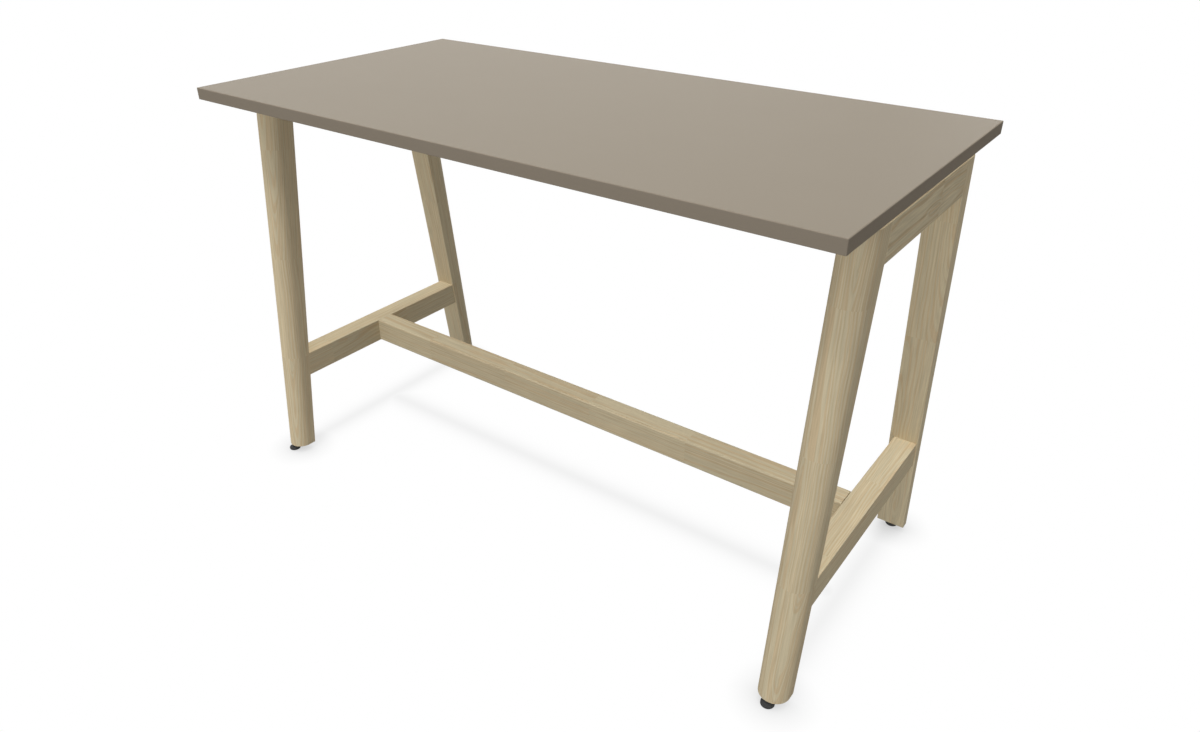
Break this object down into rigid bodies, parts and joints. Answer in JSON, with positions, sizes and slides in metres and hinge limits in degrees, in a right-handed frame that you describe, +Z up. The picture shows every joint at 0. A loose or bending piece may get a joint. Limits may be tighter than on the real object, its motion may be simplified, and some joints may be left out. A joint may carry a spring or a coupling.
{
  "type": "standing meeting table",
  "caption": "Standing-height rectangular meeting table: a flat laminated top on two splayed wooden side frames tied by a long stretcher, on levelling feet that screw in and out.",
  "frame": {"origin": "on the floor, under the middle of the tabletop", "axes": "+X along the table's length, +Y across it, +Z up"},
  "size_m": [1.6, 0.8, 1.035],
  "materials": {
    "ash": "clear matt lacquer, fine straight grain",
    "laminate": "matt taupe, fine texture",
    "edge_band": "matt taupe",
    "chipboard": "raw chipboard",
    "black_steel": "black powder coat",
    "zinc_steel": "zinc plated",
    "beech": "raw beech",
    "foot_plastic": "black moulded plastic",
    "dark_steel": "dark plated steel"
  },
  "bodies": {
    "table": {"long_stretcher": "ash", "top_rail_left": "ash", "top_rail_right": "ash", "cross_stretcher_left": "ash", "cross_stretcher_right": "ash", "leg_front_left": "ash", "leg_front_right": "ash", "leg_back_left": "ash", "leg_back_right": "ash", "top_laminate": "laminate", "underside_laminate": "laminate", "edge_band_front": "edge_band", "edge_band_back": "edge_band", "edge_band_left": "edge_band", "edge_band_right": "edge_band", "tabletop_core": "chipboard", "mounting_plate_front_left": "black_steel", "mounting_plate_front_right": "black_steel", "mounting_plate_back_left": "black_steel", "mounting_plate_back_right": "black_steel", "support_rail_front": "black_steel", "support_rail_back": "black_steel", "tie_inserts": "zinc_steel", "tie_rods": "zinc_steel", "half_moon_washers": "zinc_steel", "tie_nuts": "zinc_steel", "frame_screws": "zinc_steel", "board_screws": "zinc_steel", "glide_insert_front_left": "zinc_steel", "glide_insert_front_right": "zinc_steel", "glide_insert_back_left": "zinc_steel", "glide_insert_back_right": "zinc_steel", "rail_tenons": "beech", "stretcher_tenons": "beech", "stretcher_dowels": "beech"},
    "pad_front_left": {"foot_pad_front_left": "foot_plastic"},
    "spindle_front_left": {"foot_spindle_front_left": "dark_steel"},
    "pad_front_right": {"foot_pad_front_right": "foot_plastic"},
    "spindle_front_right": {"foot_spindle_front_right": "dark_steel"},
    "pad_back_left": {"foot_pad_back_left": "foot_plastic"},
    "spindle_back_left": {"foot_spindle_back_left": "dark_steel"},
    "pad_back_right": {"foot_pad_back_right": "foot_plastic"},
    "spindle_back_right": {"foot_spindle_back_right": "dark_steel"}
  },
  "joints": [
    {"name": "foot_travel_front_left", "type": "slide", "parent": "table", "child": "pad_front_left", "axis": [0, 0, -1], "range_m": [0, 0.012]},
    {"name": "spindle_turn_front_left", "type": "hinge", "parent": "pad_front_left", "child": "spindle_front_left", "pos_m": [-0.774, -0.357, 0.015], "axis": [0, 0, -1], "range_deg": [0, 3456]},
    {"name": "foot_travel_front_right", "type": "slide", "parent": "table", "child": "pad_front_right", "axis": [0, 0, -1], "range_m": [0, 0.012]},
    {"name": "spindle_turn_front_right", "type": "hinge", "parent": "pad_front_right", "child": "spindle_front_right", "pos_m": [0.759, -0.357, 0.015], "axis": [0, 0, -1], "range_deg": [0, 3456]},
    {"name": "foot_travel_back_left", "type": "slide", "parent": "table", "child": "pad_back_left", "axis": [0, 0, -1], "range_m": [0, 0.012]},
    {"name": "spindle_turn_back_left", "type": "hinge", "parent": "pad_back_left", "child": "spindle_back_left", "pos_m": [-0.774, 0.345, 0.015], "axis": [0, 0, -1], "range_deg": [0, 3456]},
    {"name": "foot_travel_back_right", "type": "slide", "parent": "table", "child": "pad_back_right", "axis": [0, 0, -1], "range_m": [0, 0.012]},
    {"name": "spindle_turn_back_right", "type": "hinge", "parent": "pad_back_right", "child": "spindle_back_right", "pos_m": [0.759, 0.345, 0.015], "axis": [0, 0, -1], "range_deg": [0, 3456]}
  ],
  "couplings": [
    {"joint": "spindle_turn_front_left", "follows": "foot_travel_front_left", "rad_per_m": 5026.5},
    {"joint": "spindle_turn_front_right", "follows": "foot_travel_front_right", "rad_per_m": 5026.5},
    {"joint": "spindle_turn_back_left", "follows": "foot_travel_back_left", "rad_per_m": 5026.5},
    {"joint": "spindle_turn_back_right", "follows": "foot_travel_back_right", "rad_per_m": 5026.5}
  ]
}
